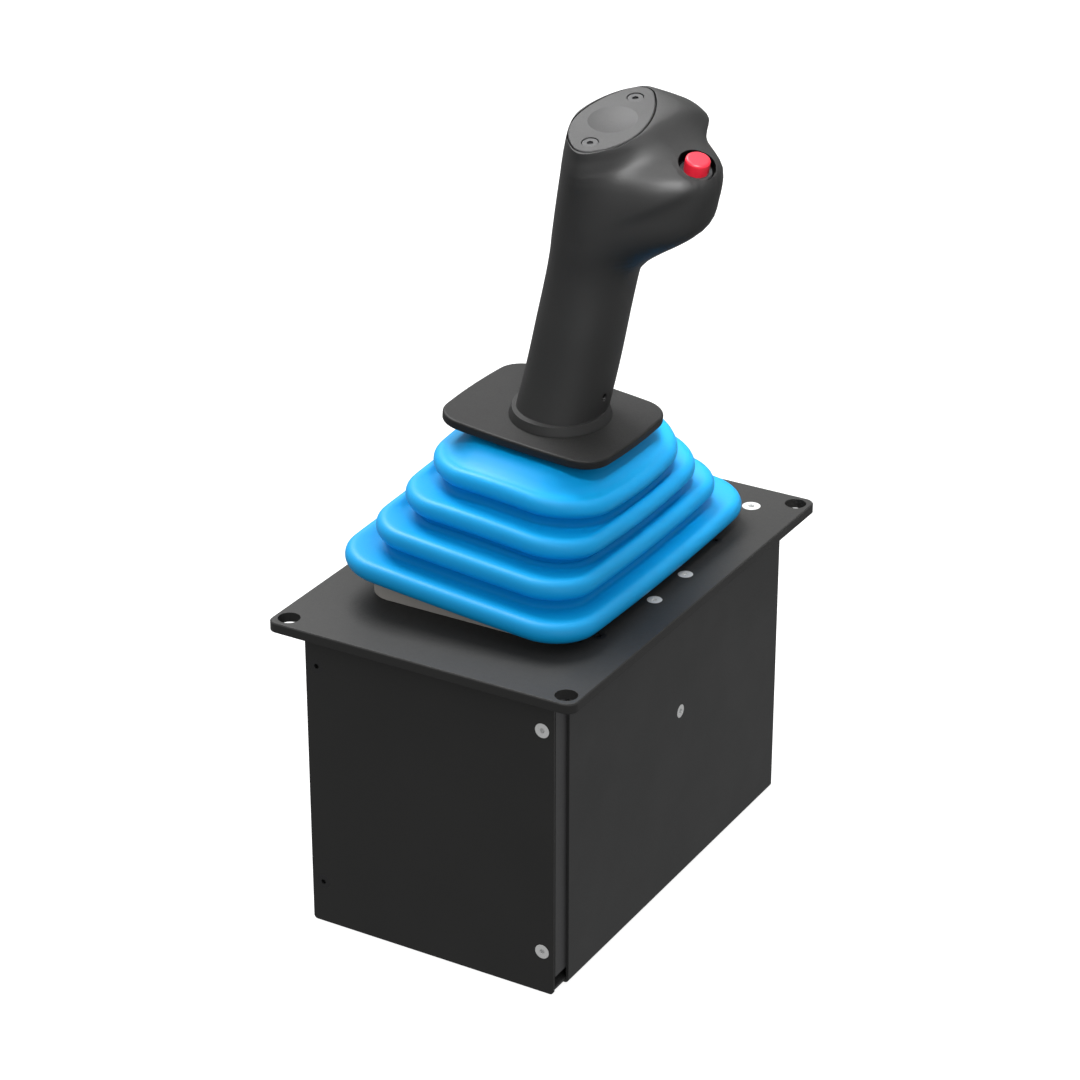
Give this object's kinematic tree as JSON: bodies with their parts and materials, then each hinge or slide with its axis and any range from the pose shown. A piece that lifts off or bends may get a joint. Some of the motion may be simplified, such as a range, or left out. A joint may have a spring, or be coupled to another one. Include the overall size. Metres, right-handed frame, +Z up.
{
  "type": "flight simulator sidestick",
  "caption": "Sidestick controller: contoured grip with thumb button on a hand rest, rubber boot over a sprung two-axis gimbal in a box hung under a mounting plate.",
  "frame": {"origin": "centre of the housing's footprint, on the surface it stands on", "axes": "+Z up, +Y forwards from the pilot, +X to the pilot's right; the plate is level in X and Y"},
  "size_m": [0.17, 0.255, 0.4001],
  "materials": {
    "black_plate": "fine satin black coating",
    "black_sheet": "satin black coating",
    "dark_frame": "dark grey coating",
    "milled_aluminium": "milled",
    "ground_steel": "ground",
    "motor_body": "black",
    "black_plastic": "matt",
    "turned_aluminium": "turned",
    "belt_rubber": "ribbed rubber",
    "beige_frame": "matt light grey-beige",
    "blue_rubber": "smooth matt blue",
    "bright_screws": "bright zinc",
    "black_screws": "black oxide",
    "steel_tube": "drawn",
    "rest_plastic": "matt dark grey",
    "grip_plastic": "fine-grained matt",
    "face_plastic": "fine-grained matt",
    "red_plastic": "satin red",
    "green_board": "solder mask"
  },
  "bodies": {
    "housing": {"top_plate": "black_plate", "near_end_plate": "black_plate", "far_end_plate": "black_plate", "right_side_cover": "black_sheet", "left_side_cover": "black_sheet", "bottom_tray": "black_sheet", "post_near_left": "dark_frame", "post_near_right": "dark_frame", "post_far_left": "dark_frame", "post_far_right": "dark_frame", "far_cross_beam": "dark_frame", "left_bearing_block": "dark_frame", "right_bearing_block": "dark_frame", "pitch_bearing_left": "ground_steel", "pitch_bearing_right": "ground_steel", "pitch_motor_bracket": "milled_aluminium", "pitch_motor": "motor_body", "pitch_belt": "belt_rubber", "pitch_encoder": "black_plastic", "boot_frame": "beige_frame", "bellows": "blue_rubber", "plate_screws_m5": "bright_screws", "plate_screws_m4": "bright_screws", "plate_screws_dark": "black_screws", "end_screws": "bright_screws", "end_screws_dark": "black_screws", "cover_screws": "bright_screws", "pitch_drive_screws": "black_screws", "control_board": "green_board", "board_standoffs": "bright_screws", "board_heatsink": "turned_aluminium", "panel_connector": "black_plastic"},
    "gimbal": {"gimbal_yoke": "milled_aluminium", "pitch_shaft_left": "ground_steel", "pitch_shaft_right": "ground_steel", "pitch_pulley": "turned_aluminium", "roll_bearing_front": "ground_steel", "roll_bearing_rear": "ground_steel", "roll_motor_bracket": "milled_aluminium", "roll_motor": "motor_body", "roll_belt": "belt_rubber", "roll_encoder": "black_plastic", "roll_drive_screws": "black_screws"},
    "stick": {"roll_shaft": "ground_steel", "roll_pulley": "turned_aluminium", "stick_hub": "milled_aluminium", "stick_tube": "steel_tube", "socket_screws": "black_screws", "hand_rest": "rest_plastic", "hand_rest_clamp": "milled_aluminium", "grip": "grip_plastic", "face_plate": "face_plastic", "face_plate_screws": "black_screws", "grip_clamp_screw": "black_screws", "button_switch": "black_plastic"},
    "pitch_rotor": {"pitch_motor_shaft": "ground_steel", "pitch_motor_pulley": "turned_aluminium"},
    "roll_rotor": {"roll_motor_shaft": "ground_steel", "roll_motor_pulley": "turned_aluminium"},
    "button": {"button_cap": "red_plastic"}
  },
  "joints": [
    {"name": "pitch", "type": "hinge", "parent": "housing", "child": "gimbal", "pos_m": [-0.008, 0.0025, 0.142], "axis": [1, 0, 0], "range_deg": [-16, 16], "stiffness_Nm_per_rad": 14, "deforming": ["bellows"]},
    {"name": "roll", "type": "hinge", "parent": "gimbal", "child": "stick", "pos_m": [-0.008, 0.0025, 0.142], "axis": [0, 1, 0], "range_deg": [-18, 18], "stiffness_Nm_per_rad": 14, "deforming": ["bellows"]},
    {"name": "pitch_motor_turn", "type": "hinge", "parent": "housing", "child": "pitch_rotor", "pos_m": [-0.05, -0.0655, 0.084], "axis": [1, 0, 0], "range_deg": [-41, 41]},
    {"name": "roll_motor_turn", "type": "hinge", "parent": "gimbal", "child": "roll_rotor", "pos_m": [-0.008, 0.056, 0.082], "axis": [0, 1, 0], "range_deg": [-46, 46]},
    {"name": "button_press", "type": "slide", "parent": "stick", "child": "button", "axis": [-0.2599, 0.1999, -0.9447], "range_m": [0, 0.0025], "stiffness_N_per_m": 300, "springref_m": -0.002}
  ],
  "couplings": [
    {"joint": "pitch_motor_turn", "follows": "pitch", "ratio": 2.5},
    {"joint": "roll_motor_turn", "follows": "roll", "ratio": 2.5}
  ]
}
